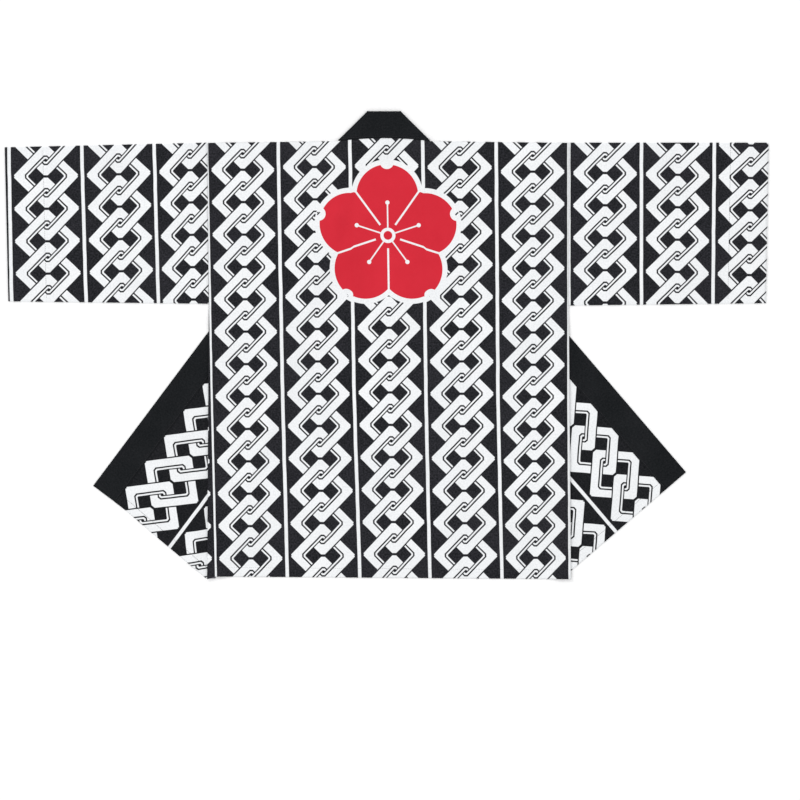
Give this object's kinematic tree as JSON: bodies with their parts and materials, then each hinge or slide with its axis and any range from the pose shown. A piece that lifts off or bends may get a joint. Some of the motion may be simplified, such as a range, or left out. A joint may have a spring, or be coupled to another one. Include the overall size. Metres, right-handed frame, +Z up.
{
  "type": "hanten",
  "caption": "Straight-cut festival jacket of printed cotton with tube sleeves and a long black collar band, laid flat with its back up and both front edges turned out below.",
  "frame": {"origin": "centre of the bounding box, on the surface that the garment lies on", "axes": "+X towards the wearer's right sleeve, +Y towards the collar, +Z up out of the back"},
  "size_m": [1.3059, 0.8007, 0.0048],
  "materials": {
    "printed_cotton": "matt plain-weave cotton, black ground printed with white chain columns and stripes",
    "collar_cotton": "matt black plain-weave cotton, doubled and edge-stitched"
  },
  "bodies": {
    "root": {"back": "printed_cotton", "front_left": "printed_cotton", "front_right": "printed_cotton", "sleeve_left": "printed_cotton", "sleeve_right": "printed_cotton", "collar": "collar_cotton"}
  },
  "joints": []
}
